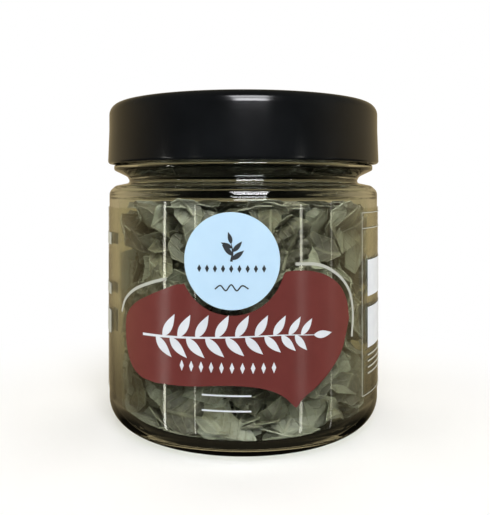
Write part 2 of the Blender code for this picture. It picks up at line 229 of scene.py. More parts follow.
def dried_leaf(settings):
    """Air-dried curry leaf: thin, brittle and dull, grey-green above and paler below, with a light midrib
    and side veins, brown blotches and pale torn edges. The veins follow each leaf's own length and width,
    and the net of fine veins between them is drawn twice too coarse so that it shows."""
    made, tree, place = new_material("air_dried_leaf")
    own = add(tree, "Attribute", {"attribute_name": "leaf_place"}).outputs["Vector"]
    look = add(tree, "Attribute", {"attribute_name": "leaf_look"}).outputs["Vector"]
    spot = add(tree, "SeparateXYZ", links={0: own})
    tone = add(tree, "SeparateXYZ", links={0: look})
    aside = add(tree, "Math", {"operation": "ABSOLUTE"}, {0: spot.outputs[1]})

    rib = add(
        tree,
        "MapRange",
        {"From Min": 0.00015, "From Max": 0.00055, "To Min": 1.0, "To Max": 0.0},
        {"Value": aside},
    )
    slope = add(tree, "Math", {"operation": "MULTIPLY", 1: -VEIN_SLOPE}, {0: aside})
    slanted = add(tree, "Math", {"operation": "ADD"}, {0: spot.outputs[0], 1: slope})
    wander = add(tree, "TexNoise", {"Scale": 220.0, "Detail": 2.0}, {"Vector": own})
    bent = add(tree, "Math", {"operation": "MULTIPLY_ADD", 1: 0.0012}, {0: wander, 2: slanted})
    wave = add(tree, "Math", {"operation": "PINGPONG", 1: settings.vein_spacing / 2}, {0: bent})
    vein = add(
        tree,
        "MapRange",
        {"From Min": 0.00008, "From Max": 0.0003, "To Min": 0.6, "To Max": 0.0},
        {"Value": wave},
    )
    veins = add(tree, "Math", {"operation": "MAXIMUM"}, {0: rib, 1: vein})
    net = add(tree, "TexVoronoi", {"feature": "DISTANCE_TO_EDGE", "Scale": 900.0}, {"Vector": own})
    net_line = add(
        tree,
        "MapRange",
        {"From Min": 0.0, "From Max": 0.12, "To Min": 0.15, "To Max": 0.0},
        {"Value": net},
    )

    blotch = add(tree, "TexNoise", {"Scale": 130.0, "Detail": 5.0, "Roughness": 0.62}, {"Vector": place})
    spread = add(tree, "Math", {"operation": "MULTIPLY_ADD", 1: 1.7, 2: -0.85}, {0: blotch})
    shift = add(tree, "Math", {"operation": "ADD"}, {0: spread, 1: tone.outputs[0]})
    leaf_colours = [
        (0.10, settings.brown), (0.38, settings.olive), (0.62, settings.grey_green), (0.90, settings.pale)
    ]
    above = add(tree, "ValToRGB", {}, {0: shift}, leaf_colours)
    under_colours = [(0.2, settings.under_dark), (0.8, settings.under_light)]
    below = add(tree, "ValToRGB", {}, {0: shift}, under_colours)
    sides = add(tree, "Mix", {"data_type": "RGBA"}, {0: tone.outputs[1], 6: above, 7: below})
    faint = add(tree, "Math", {"operation": "MULTIPLY", 1: 0.22}, {0: veins})
    veined = add(
        tree, "Mix", {"data_type": "RGBA", 7: linear(settings.vein)}, {0: faint, 6: sides.outputs[2]}
    )
    edge = add(
        tree,
        "MapRange",
        {"From Min": 0.93, "From Max": 1.0, "To Min": 0.0, "To Max": 0.25},
        {"Value": tone.outputs[2]},
    )
    worn = add(
        tree, "Mix", {"data_type": "RGBA", 7: linear(settings.torn_edge)}, {0: edge, 6: veined.outputs[2]}
    )

    grain = add(tree, "TexNoise", {"Scale": 1400.0, "Detail": 3.0}, {"Vector": place})
    creases = add(tree, "TexNoise", {"Scale": 420.0, "Detail": 4.0, "Roughness": 0.6}, {"Vector": place})
    height = add(tree, "Math", {"operation": "MULTIPLY_ADD", 1: 1.6}, {0: creases, 2: veins})
    height = add(tree, "Math", {"operation": "ADD"}, {0: height, 1: net_line})
    height = add(tree, "Math", {"operation": "MULTIPLY_ADD", 1: 0.3}, {0: grain, 2: height})
    bump = add(tree, "Bump", {"Strength": 0.8, "Distance": 0.00025}, {"Height": height})
    rough = add(
        tree,
        "MapRange",
        {"From Min": 0.3, "From Max": 0.7, "To Min": 0.42, "To Max": 0.62},
        {"Value": creases},
    )
    leaf = add(
        tree,
        "BsdfPrincipled",
        {"Specular IOR Level": 0.4},
        {"Base Color": worn.outputs[2], "Roughness": rough, "Normal": bump},
    )
    return finished(made, leaf)


def dried_stalk(settings):
    """Dried leaf stalk: fibrous and straw brown, with fine grooves along it."""
    made, tree, place = new_material("dried_leaf_stalk")
    own = add(tree, "Attribute", {"attribute_name": "stalk_place"}).outputs["Vector"]
    stretched = add(tree, "Mapping", {"Scale": (2.0, 40.0, 1.0)}, {"Vector": own})
    fibre = add(tree, "TexNoise", {"Scale": 3.0, "Detail": 4.0}, {"Vector": stretched})
    spots = add(tree, "TexNoise", {"Scale": 300.0, "Detail": 3.0}, {"Vector": place})
    both = add(tree, "Mix", {0: 0.5}, {2: fibre, 3: spots})
    # Darker in the grooves and lighter on the ridges: partly painted shade following the bump's fibre noise,
    # partly the stalk's own random spots.
    stops = [(0.3, settings.stalk_dark_and_groove_shade), (0.7, settings.stalk_light)]
    shade = add(tree, "ValToRGB", {}, {0: both}, stops)
    bump = add(tree, "Bump", {"Strength": 0.6, "Distance": 0.0002}, {"Height": fibre})
    stalk = add(tree, "BsdfPrincipled", {"Roughness": 0.7}, {"Base Color": shade, "Normal": bump})
    return finished(made, stalk)


# ---------------------------------------------------------------- mesh helpers
def grid_faces(rows, columns, wrap_rows=False, wrap_columns=False):
    """Quads of a grid of points numbered row by row. A wrapped direction joins its last line to its
    first."""
    row = np.arange(rows if wrap_rows else rows - 1)[:, None]
    column = np.arange(columns if wrap_columns else columns - 1)[None, :]
    below, beside = (row + 1) % rows, (column + 1) % columns
    here, there = row * columns, below * columns
    corners = (here + column, there + column, there + beside, here + beside)
    return np.stack(np.broadcast_arrays(*corners), axis=-1).reshape(-1, 4)


def unit(vectors):
    """Each vector divided by its length."""
    length = np.linalg.norm(vectors, axis=-1, keepdims=True)
    return vectors / np.maximum(length, 1e-12)


def plate(grid, half, round_columns=False):
    """A closed plate, half a thickness either side of a grid of points, as points and faces. The
    thickness is laid off along the cross product of the grid's two directions. With round_columns the
    grid is a disc whose first row is its centre and whose columns close on themselves."""
    rows, columns = grid.shape[:2]
    down = np.gradient(grid, axis=0)
    if round_columns:
        across = np.roll(grid, -1, axis=1) - np.roll(grid, 1, axis=1)
    else:
        across = np.gradient(grid, axis=1)
    normal = unit(np.cross(down, across))
    if round_columns:
        normal[0] = unit(normal[1].mean(axis=0))
    face = grid_faces(rows, columns, wrap_columns=round_columns)
    count = rows * columns
    index = np.arange(count).reshape(rows, columns)
    if round_columns:
        rim = index[-1, ::-1]
    else:
        rim = np.concatenate([index[0, :-1], index[:-1, -1], index[-1, :0:-1], index[:0:-1, 0]])
    beyond = np.roll(rim, -1)
    sides = np.stack([rim, beyond, beyond + count, rim + count], axis=-1)
    points = np.concatenate([(grid + normal * half).reshape(-1, 3), (grid - normal * half).reshape(-1, 3)])
    return points, np.concatenate([face, face[:, ::-1] + count, sides])


def make_piece(name, points, faces, finishes, fields=None, finish_of_face=None, closes=False):
    """A mesh object at the origin. fields are named vectors on its points. With closes, doubled points at
    poles are merged and the faces turned outwards."""
    mesh = bpy.data.meshes.new(name)
    mesh.from_pydata(np.asarray(points).reshape(-1, 3).tolist(), [], np.asarray(faces).tolist())
    for finish in finishes:
        mesh.materials.append(finish)
    if finish_of_face is not None:
        mesh.polygons.foreach_set("material_index", np.asarray(finish_of_face, np.int32))
    for field, values in (fields or {}).items():
        layer = mesh.attributes.new(field, "FLOAT_VECTOR", "POINT")
        layer.data.foreach_set("vector", np.asarray(values, np.float32).ravel())
    if closes:
        work = bmesh.new()
        work.from_mesh(mesh)
        bmesh.ops.remove_doubles(work, verts=work.verts, dist=0.000001)
        bmesh.ops.recalc_face_normals(work, faces=work.faces)
        work.to_mesh(mesh)
        work.free()
    mesh.shade_smooth()
    mesh.set_sharp_from_angle(angle=math.radians(50))
    piece = bpy.data.objects.new(name, mesh)
    bpy.context.scene.collection.objects.link(piece)
    return piece


def settle_in(piece, body, slot, *nodes):
    """The piece rides on its body and stands for its nodes, which are hidden. The slot is not used."""
    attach(piece, body)
    if nodes:
        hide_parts(*nodes)


def rounded(corners, steps=7):
    """Walks (radius, height, fillet) corners and swaps each for an arc that touches both of its sides.
    The arc's points turn evenly from one tangent point to the other about the fillet's centre."""
    spots = np.array([corner[:2] for corner in corners], float)
    path = [spots[0]]
    for number in range(1, len(spots) - 1):
        here, fillet = spots[number], corners[number][2]
        back, ahead = spots[number - 1] - here, spots[number + 1] - here
        back_length, ahead_length = np.linalg.norm(back), np.linalg.norm(ahead)
        back, ahead = back / back_length, ahead / ahead_length
        half = math.acos(float(np.clip(back @ ahead, -1, 1))) / 2
        if fillet == 0 or half > math.pi / 2 - 0.02:
            path.append(here)
            continue
        reach = min(fillet / math.tan(half), 0.49 * back_length, 0.49 * ahead_length)
        radius = reach * math.tan(half)
        centre = here + (back + ahead) / np.linalg.norm(back + ahead) * radius / math.sin(half)
        first, last = here + back * reach - centre, here + ahead * reach - centre
        sweep = math.pi - 2 * half
        for share in np.linspace(0, 1, steps + 1):
            turned = math.sin((1 - share) * sweep) * first + math.sin(share * sweep) * last
            path.append(centre + turned / math.sin(sweep))
    path.append(spots[-1])
    return np.array(path)


def arc(centre, radius, start, end, steps):
    """Points of a circular arc in the (radius, height) plane, from one angle to another in degrees."""
    angle = np.radians(np.linspace(start, end, steps + 1))
    return np.stack([centre[0] + radius * np.cos(angle), centre[1] + radius * np.sin(angle)], axis=-1)


def turned(profile, azimuth, swell=0.0, lift=0.0):
    """The profile carried round Z: the point at radius r + swell and height z + lift, at each azimuth
    from +X."""
    radius = profile[:, 0][:, None] + swell
    height = profile[:, 1][:, None] + lift + 0 * azimuth[None, :]
    return np.stack([radius * np.cos(azimuth), radius * np.sin(azimuth), height], axis=-1)


def smooth_step(low, high, value):
    """0 below low and 1 above high, with the cubic 3t^2 - 2t^3 between."""
    share = np.clip((value - low) / (high - low), 0, 1)
    return share * share * (3 - 2 * share)


# ---------------------------------------------------------------- settings
def length(name, description, default):
    """A setting in metres, which the panel shows in the scene's own unit."""
    return FloatProperty(name=name, description=description, default=default, unit="LENGTH", precision=5)


def colour(name, description, default):
    """A setting that holds a colour as sRGB hex."""
    return StringProperty(name=name, description=description + ", as sRGB hex", default=default)


class GlassSettings(bpy.types.PropertyGroup):
    radius: length("Body radius", "Outer radius of the straight wall", JAR_HIGH.x)
    height: length("Rim height", "Height of the glass rim", JAR_HIGH.z)
    wall: length("Wall", "Thickness of the body wall", 2.4 * MM)
    floor: length("Floor", "Height of the inside floor at its middle", 3.7 * MM)
    shoulder: length("Shoulder", "Height of the shoulder's outer edge", 62.0 * MM)
    heel: length("Heel radius", "Corner between the wall and the foot", 7.0 * MM)
    ridge: length("Thread ridge", "How far a thread ridge stands out", 1.25 * MM)
    lead: length("Thread lead", "Rise of the thread for one whole turn", 8.5 * MM)
    segments: IntProperty(name="Segments", description="Facets round the glass", default=256, min=64)
    tint: colour("Tint", "What the glass gives to light passing through it", "#f0f5f1")
    shadow_tint: colour("Shadow tint", "What the glass takes from a lamp's light", "#eef0ea")


class LidSettings(bpy.types.PropertyGroup):
    radius: length("Skirt radius", "Outer radius of the straight skirt", LID_HIGH.x - 0.3 * MM)
    sheet: length("Sheet", "Thickness of the tinplate", 0.35 * MM)
    corner: length("Corner radius", "Roundness of the top edge", 3.0 * MM)
    panel: length("Panel radius", "Radius of the sunk middle panel", 26.2 * MM)
    drop: length("Panel drop", "How far the panel is sunk", 0.7 * MM)
    curl: length("Curl radius", "Radius of the rolled edge", 0.75 * MM)
    lug: length("Lug reach", "Radius that the lugs reach in to", 33.8 * MM)
    dark: colour("Lacquer, dark", "The lacquer where it lies thick", "#0a0b0c")
    light: colour("Lacquer, light", "The lacquer where it lies thin", "#121416")
    inside_dark: colour("Inside, dark", "Inner lacquer in the sheet's lines", "#3b3c3a")
    inside_light: colour("Inside, light", "Inner lacquer between the lines", "#4b4c49")
    # Painted shade: the darker colour laid in the seal's pits.
    seal_pit_shade: colour("Seal, dark", "Seal compound in its pits", "#cdc9bd")
    seal_light: colour("Seal, light", "Seal compound on its skin", "#e2dfd5")


class LabelSettings(bpy.types.PropertyGroup):
    film: length("Film", "Thickness of the clear film", 0.12 * MM)
    ink: length("Ink", "Thickness of a printed layer, heavier than the real one", 0.03 * MM)
    line: length("Line", "Width of a printed line", 0.36 * MM)
    disc: length("Disc radius", "Radius of the pale disc", 10.8 * MM)
    disc_height: length("Disc height", "Height of the pale disc's middle", 45.4 * MM)
    red: colour("Panel", "The dark red panel", "#6a312d")
    red_dark: colour("Panel, dark", "The mottle in the red", "#662f2b")
    blue: colour("Disc", "The pale disc", "#bbdaf0")
    blue_dark: colour("Disc, dark", "The mottle in the pale disc", "#b7d7ee")
    white: colour("White", "The white ink", "#d9dee3")
    white_dark: colour("White, dark", "The mottle in the white", "#d2d7dd")
    fine: colour("Fine white", "Thin white lines, which let the leaves show through", "#aeb0a6")
    charcoal: colour("Charcoal", "The dark ink on the disc", "#2c3033")


class LeafSettings(bpy.types.PropertyGroup):
    sheet: length("Leaf", "Thickness of a dried leaf", 0.26 * MM)
    crumple: length("Crumple", "Depth of the folds in a leaf", 1.35 * MM)
    vein_spacing: length("Vein spacing", "Distance between side veins along the midrib", 2.4 * MM)
    flakes: IntProperty(name="Flakes", description="Small torn pieces between leaves", default=560, min=0)
    seed: IntProperty(name="Seed", description="Another number tears the leaves another way", default=11)
    brown: colour("Brown", "The driest parts", "#49443a")
    olive: colour("Olive", "The dull body of a leaf", "#77725e")
    grey_green: colour("Grey green", "The body of a greener leaf", "#878575")
    pale: colour("Pale", "The lightest parts", "#a8a99a")
    under_dark: colour("Underside, dark", "The underside's darker parts", "#67645a")
    under_light: colour("Underside, light", "The underside's lighter parts", "#9f9e8e")
    vein: colour("Vein", "Midrib and veins", "#aaa78c")
    torn_edge: colour("Torn edge", "The dried edge of a tear", "#a9a78f")
    # Partly painted shade: the colour laid in a stalk's grooves, mixed with its random darker spots.
    stalk_dark_and_groove_shade: colour("Stalk, dark", "Grooves of a stalk", "#4a3c28")
    stalk_light: colour("Stalk, light", "Ridges of a stalk", "#8b7a56")


class StudioSettings(bpy.types.PropertyGroup):
    lens: FloatProperty(name="Lens", description="Focal length in mm on a 36 mm sensor", default=46.6)
    distance: length("Distance", "From the jar's axis to the camera", 183.0 * MM)
    eye: length("Eye height", "Height of the camera", 61.6 * MM)
    azimuth: FloatProperty(
        name="Azimuth",
        description="Camera's turn from the label's middle",
        default=math.radians(4.2),
        subtype="ANGLE",
    )
    shift: FloatVectorProperty(
        name="Shift", description="Lens shift that frames the jar", size=2, default=(0.0033, -0.1357)
    )
    floor_colour: colour("Floor", "The floor's paper", "#f4f4f2")
    surroundings: colour("Surroundings", "The room that the glass mirrors", "#ae9c77")
    low: colour("Low surroundings", "The room below the table's edge", "#1f1c15")
    high: colour("High surroundings", "The room's ceiling", "#59564b")
    camera_side: colour("Camera side", "The room on the camera's side", "#1d1d1a")


# ---------------------------------------------------------------- glass
def inner_glass(settings):
    """Inside of the jar from the middle of its floor to the rim, as (radius, height) points."""
    inside = settings.radius - settings.wall
    corner = settings.heel - settings.wall
    low, shoulder, bore = settings.floor - 0.8 * MM, settings.shoulder, settings.radius - 7.3 * MM
    return rounded([
        (0, settings.floor, 0),
        (18 * MM, settings.floor - 0.3 * MM, 30 * MM),
        (24 * MM, low, 20 * MM),
        (inside, low, corner),
        (inside, shoulder - 1.5 * MM, 2.8 * MM),
        (bore + 0.8 * MM, shoulder - 0.7 * MM, 1.5 * MM),
        (bore, shoulder + 1.2 * MM, 2.0 * MM),
        (bore + 0.2 * MM, settings.height - 0.8 * MM, 1.0 * MM),
        (bore + 0.9 * MM, settings.height, 0.6 * MM),
        (bore + 2.2 * MM, settings.height, 0),
    ])


def outer_glass(settings):
    """Outside of the jar from the rim to the middle of its base. The finish is given a point every 0.3
    mm, to carry the thread."""
    top, body, shoulder, heel = settings.height, settings.radius, settings.shoulder, settings.heel
    finish, bead, neck = body - 2.8 * MM, body - 1.2 * MM, body - 5.2 * MM
    head = rounded([(finish - 2.3 * MM, top, 0), (finish, top, 0.8 * MM), (finish, top - 1.5 * MM, 0)])
    heights = np.arange(top - 1.6 * MM, shoulder + 6.4 * MM, -0.3 * MM)
    thread = np.stack([np.full_like(heights, finish), heights], axis=-1)
    foot = rounded([
        (finish, shoulder + 6.3 * MM, 0),
        (finish, shoulder + 5.9 * MM, 0.5 * MM),
        (bead, shoulder + 5.5 * MM, 0.6 * MM),
        (bead, shoulder + 4.2 * MM, 0.7 * MM),
        (neck + 0.5 * MM, shoulder + 2.5 * MM, 1.5 * MM),
        (neck - 0.3 * MM, shoulder + 0.9 * MM, 3.6 * MM),
        (body - 1.6 * MM, shoulder + 0.1 * MM, 1.8 * MM),
        (body, shoulder - 1.4 * MM, 2.0 * MM),
        (body, heel + 1 * MM, 0),
    ])
    corner = arc((body - heel, heel), heel, 0, -90, 18)
    base = rounded([
        (body - heel - 0.3 * MM, 0, 0), (26.4 * MM, 0, 0.5 * MM), (24.6 * MM, 1.0 * MM, 1.5 * MM),
        (12 * MM, 1.8 * MM, 20 * MM), (0, 2.0 * MM, 0),
    ])
    return np.concatenate([head, thread, foot, corner, base])


def ridge_relief(settings, radius, height, azimuth):
    """Four thread ridges. Each one starts 8 degrees before a lug and runs 74 degrees round. Its middle
    climbs by the lead, and its height is a rounded hump across, exp(-(d / w) ** 4), that fades out at
    both ends."""
    start, run, fade = math.radians(-8), math.radians(74), math.radians(6)
    quarter = math.pi / 2
    along = (azimuth - start) % quarter
    along = np.where(along > run, run, along)
    middle = LID_LOW.z + 2.40 * MM + settings.lead * (along + start) / (2 * math.pi)
    ends = smooth_step(0, fade, along) * smooth_step(0, fade, run - along)
    hump = np.exp(-(((height - middle) / (0.62 * MM)) ** 4))
    return settings.ridge * hump * ends


def build_glass(settings):
    """The jar in one closed surface: its profile turned about Z, with the thread ridges, two mould seams
    and the knurled foot ring as reliefs on it."""
    inner, outer = inner_glass(settings), outer_glass(settings)
    profile = np.concatenate([inner, outer])
    azimuth = np.linspace(0, 2 * math.pi, settings.segments, endpoint=False)
    radius, height = profile[:, 0][:, None], profile[:, 1][:, None]
    outside = (np.arange(len(profile)) >= len(inner))[:, None]

    finish_zone = outside & (height > settings.shoulder + 6.0 * MM) & (radius > settings.radius - 3.2 * MM)
    swell = np.where(finish_zone, ridge_relief(settings, radius, height, azimuth[None, :]), 0.0)
    wall_zone = outside & (height > settings.heel) & (height < settings.shoulder - 2 * MM)
    from_seam = np.abs((azimuth[None, :] + math.pi / 2) % math.pi - math.pi / 2)
    seam_width, seam_height, knurls, knurl_height = math.radians(0.8), 0.05 * MM, 64, 0.15 * MM
    swell = swell + np.where(wall_zone & (from_seam < seam_width), seam_height, 0.0)
    foot_zone = outside & (height < 0.02 * MM) & (radius > 26.8 * MM) & (radius < 28.9 * MM)
    lift = np.where(foot_zone, knurl_height * (0.5 - 0.5 * np.cos(knurls * azimuth[None, :])), 0.0)

    points = turned(profile, azimuth, swell, lift)
    faces = grid_faces(len(profile), len(azimuth), wrap_columns=True)
    jar = make_piece("jar_glass", points, faces, [container_glass(settings)], closes=True)
    settle_in(jar, "jar", "jar_glass", "glass_jar")


# ---------------------------------------------------------------- lid and seal
def build_lid(settings):
    """The lid's sheet in one closed surface: its profile turned about Z. At the four lugs the inner side
    of the curl is pressed inwards. Faces that look into the lid take the inner lacquer."""
    top, sheet, panel, drop = LID_HIGH.z, settings.sheet, settings.panel, settings.drop
    outer, inner = settings.radius, settings.radius - settings.sheet
    curl = (outer + 0.3 * MM - settings.curl, LID_LOW.z + settings.curl)
    upper = rounded([
        (0, top - drop, 0),
        (19.0 * MM, top - drop, 0.8 * MM),
        (19.5 * MM, top - drop - 0.2 * MM, 0.8 * MM),
        (21.0 * MM, top - drop - 0.2 * MM, 0.8 * MM),
        (21.5 * MM, top - drop, 0.8 * MM),
        (panel, top - drop, 0.8 * MM),
        (panel + 1.0 * MM, top, 0.8 * MM),
        (outer, top, settings.corner),
        (outer, LID_LOW.z + settings.curl + 8 * MM, 60 * MM),
        (outer + 0.3 * MM, LID_LOW.z + settings.curl, 0),
    ], steps=10)
    roll = arc(curl, settings.curl, -6, -200, 18)
    lower = rounded([
        (inner, LID_LOW.z + 2 * settings.curl + 0.3 * MM, 0),
        (inner, top - sheet, settings.corner - sheet),
        (panel + 1.3 * MM, top - sheet, 0.6 * MM),
        (panel + 0.3 * MM, top - drop - sheet, 0.6 * MM),
        (21.4 * MM, top - drop - sheet, 0.6 * MM),
        (20.9 * MM, top - drop - sheet - 0.2 * MM, 0.6 * MM),
        (19.6 * MM, top - drop - sheet - 0.2 * MM, 0.6 * MM),
        (19.1 * MM, top - drop - sheet, 0.6 * MM),
        (0, top - drop - sheet, 0),
    ], steps=8)
    profile = np.concatenate([upper, roll, lower])
    azimuth = np.linspace(0, 2 * math.pi, 192, endpoint=False)
    radius, height = profile[:, 0][:, None], profile[:, 1][:, None]
    from_lug = np.abs((azimuth[None, :] + math.pi / 4) % (math.pi / 2) - math.pi / 4)
    width = 1 - smooth_step(math.radians(4.5), math.radians(7.0), from_lug)
    on_curl = (radius < curl[0] + 0.1 * MM) & (height < LID_LOW.z + 1.5 * MM) & (radius > settings.lug)
    press = np.where(on_curl, smooth_step(0.2 * MM, -0.5 * MM, radius - curl[0]), 0.0)
    swell = -(curl[0] - settings.curl - settings.lug) * press * width

    finishes = [lid_lacquer(settings), inner_lacquer(settings)]
    rows = np.repeat(np.arange(len(profile) - 1), len(azimuth))
    piece = make_piece(
        "lid_tinplate",
        turned(profile, azimuth, swell),
        grid_faces(len(profile), len(azimuth), wrap_columns=True),
        finishes,
        finish_of_face=rows >= len(upper) + len(roll),
        closes=True,
    )
    settle_in(piece, "lid", "lid_lacquer", "lid_shell")


def build_seal(settings):
    """The seal ring: a rounded channel of compound turned about Z, with the shallow groove that the rim
    presses."""
    low, high, outer = SEAL_LOW.z, SEAL_HIGH.z, SEAL_HIGH.x
    inner = outer - 5.8 * MM
    closed = rounded([
        (inner + 1 * MM, high, 0),
        (outer - 1.6 * MM, high, 0.5 * MM),
        (outer, high - 0.75 * MM, 0.2 * MM),
        (outer, low, 0.05 * MM),
        (outer - 0.9 * MM, low, 0.1 * MM),
        (outer - 1.2 * MM, low + 0.12 * MM, 0.2 * MM),
        (outer - 4.3 * MM, low + 0.12 * MM, 0.2 * MM),
        (outer - 4.6 * MM, low, 0.1 * MM),
        (inner, low, 0.2 * MM),
        (inner, high, 0.3 * MM),
        (inner + 1 * MM, high, 0),
    ])[:-1]
    azimuth = np.linspace(0, 2 * math.pi, 160, endpoint=False)
    faces = grid_faces(len(closed), len(azimuth), wrap_rows=True, wrap_columns=True)
    piece = make_piece("seal_ring", turned(closed, azimuth), faces, [plastisol(settings)], closes=True)
    settle_in(piece, "seal", "seal_compound", "lid_gasket")


# ---------------------------------------------------------------- label
def on_label(across, height, layer, settings):
    """Bends flat artwork round the film: across is the arc from the label's middle, height is above the
    table, and layer counts thicknesses of ink out from the film."""
    radius = JAR_HIGH.x + FILM_GAP + settings.film + (layer * 1.6 + 0.8) * settings.ink
    angle = across / JAR_HIGH.x
    return np.stack([radius * np.sin(angle), -radius * np.cos(angle), height + 0 * angle], axis=-1)


def print_piece(name, across, height, layer, ink, settings):
    """One printed shape: a grid of artwork points as a thin closed layer on the film."""
    points, faces = plate(on_label(across, height, layer, settings), settings.ink / 2)
    piece = make_piece(name, points, faces, [ink], closes=True)
    settle_in(piece, "jar", "label_film")


def ruled(low, high, rows=7):
    """Fills between two edges, each a list of (across, height) points, with straight lines from one to
    the other."""
    share = np.linspace(0, 1, rows)[:, None]
    grid = low[None, :, :] * (1 - share[..., None]) + high[None, :, :] * share[..., None]
    return grid[..., 0], grid[..., 1]


def smooth_path(spots, count):
    """A Catmull-Rom curve through the spots: each span is the cubic set by its two ends and their
    neighbours."""
    spots = np.asarray(spots, float) * MM
    padded = np.concatenate([[2 * spots[0] - spots[1]], spots, [2 * spots[-1] - spots[-2]]])
    place = np.linspace(0, len(spots) - 1 - 1e-9, count)
    span, t = place.astype(int), (place % 1)[:, None]
    a, b, c, d = (padded[span + k] for k in range(4))
    return 0.5 * (2 * b + (c - a) * t + (2 * a - 5 * b + 4 * c - d) * t**2 + (3 * b - a - 3 * c + d) * t**3)


def ribbon(path, half_width):
    """A flat ribbon along a path of (across, height) points, half_width to either side of it at each
    point."""
    along = np.gradient(path, axis=0)
    side = unit(np.stack([-along[:, 1], along[:, 0]], axis=-1)) * np.reshape(half_width, (-1, 1))
    grid = np.stack([path - side, path, path + side])
    return grid[..., 0], grid[..., 1]


def red_panel(settings):
    """Edges of the red panel, both from left to right: it is notched round the disc and has a pointed
    tail."""
    notch = settings.disc + 1.25 * MM
    middle = np.array([0.0, settings.disc_height])
    angle = np.radians(np.linspace(205, 341, 30))
    bay = middle + notch * np.stack([np.cos(angle), np.sin(angle)], axis=-1)
    upper = np.concatenate([
        smooth_path([(-29.5, 28.5), (-28.7, 31.5), (-25.5, 34.4), (-20, 37.0), (-14.5, 39.2)], 24),
        smooth_path([(-14.5, 39.2), (-12.6, 39.9), (-11.4, 39.9), (-10.9, 40.2)], 6)[1:-1],
        bay,
        smooth_path([(11.5, 42.2), (12.2, 42.9), (14.0, 43.1)], 6)[1:],
        smooth_path(
            [(14.0, 43.1), (18, 42.9), (22.5, 41.6), (26.5, 39.0), (29.0, 35.2), (29.8, 31.0)], 32
        )[1:],
    ])
    lower = np.concatenate([
        smooth_path([(-29.5, 28.5), (-29.0, 24.0), (-27.0, 19.9), (-23.5, 17.6), (-18.5, 16.9)], 24),
        smooth_path(
            [(-18.5, 16.9), (-10, 17.2), (-1, 17.9), (6, 17.4), (11.0, 15.6), (14.6, 12.4)], 38
        )[1:],
        smooth_path(
            [(14.6, 12.4), (16.6, 14.6), (19.5, 16.4), (23.5, 19.6), (27.4, 24.2), (29.8, 31.0)], 34
        )[1:],
    ])
    stations = np.linspace(0, 1, 110)
    knots = (0.0, 0.26, 0.62, 1.0)
    marks_up = (0, 27, len(upper) - 36, len(upper) - 1)
    marks_low = (0, 23, 60, len(lower) - 1)
    place_up = np.interp(stations, knots, marks_up)
    place_low = np.interp(stations, knots, marks_low)

    def along(edge, place):
        count = np.arange(len(edge))
        return np.stack([np.interp(place, count, edge[:, 0]), np.interp(place, count, edge[:, 1])], axis=-1)

    return ruled(along(lower, place_low), along(upper, place_up), rows=9)


def disc(centre, radius, rows=15, columns=64):
    """A filled circle as lines from its lower half to its upper half, closer together towards its two
    ends."""
    angle = np.linspace(0, math.pi, columns)
    across = centre[0] - radius * np.cos(angle)
    low = np.stack([across, centre[1] - radius * np.sin(angle)], axis=-1)
    high = np.stack([across, centre[1] + radius * np.sin(angle)], axis=-1)
    return ruled(low, high, rows)


def leaflet(foot, angle, size, plump=0.17):
    """A plain leaf shape as a ribbon: its half-width is a sine of the share along it, fuller near its
    foot."""
    share = np.linspace(0, 1, 18)
    way = np.array([math.cos(angle), math.sin(angle)])
    side = np.array([-way[1], way[0]])
    path = foot + way * (share * size)[:, None] + side * (0.08 * size * share**2)[:, None]
    return ribbon(path, plump * size * np.sin(math.pi * share**0.8) + 0.00001)


def sprig(stem, pairs, size, spread):
    """The stem's path as a ribbon and, in pairs along it, leaflets that grow shorter towards its tip."""
    share = np.linspace(0, 1, len(stem))
    shapes = [ribbon(stem, 0.22 * MM * (1.3 - share))]
    heading = np.unwrap(np.arctan2(*np.gradient(stem, axis=0).T[::-1]))
    for number in range(pairs):
        for side in (-1, 1):
            place = 0.10 + 0.84 * (number + (0.5 if side > 0 else 0)) / pairs
            foot = np.array([np.interp(place, share, stem[:, 0]), np.interp(place, share, stem[:, 1])])
            turn = np.interp(place, share, heading) + side * spread
            shapes.append(leaflet(foot, turn, size * (1 - 0.35 * place**2)))
    shapes.append(leaflet(stem[-1], heading[-1], size * 0.8))
    return shapes


def rule(low, high, width, columns=40):
    """A straight printed line between two (across, height) ends, in mm."""
    share = np.linspace(0, 1, columns)[:, None]
    path = (np.array(low) * (1 - share) + np.array(high) * share) * MM
    return ribbon(path, np.full(columns, width / 2))


def lozenge(across, height, width, tall):
    """A printed lozenge: an upright ribbon whose half-width falls evenly from its middle to both tips, in
    mm."""
    share = np.linspace(-1, 1, 9)
    path = np.stack([across + 0 * share, height + share * tall / 2], axis=-1) * MM
    return ribbon(path, width / 2 * MM * (1.02 - np.abs(share)))


def block(left, right, low, high, columns=24):
    """A plain printed rectangle, in mm."""
    across = np.linspace(left, right, columns) * MM
    low_edge = np.stack([across, np.full(columns, low * MM)], axis=-1)
    high_edge = np.stack([across, np.full(columns, high * MM)], axis=-1)
    return ruled(low_edge, high_edge, 3)


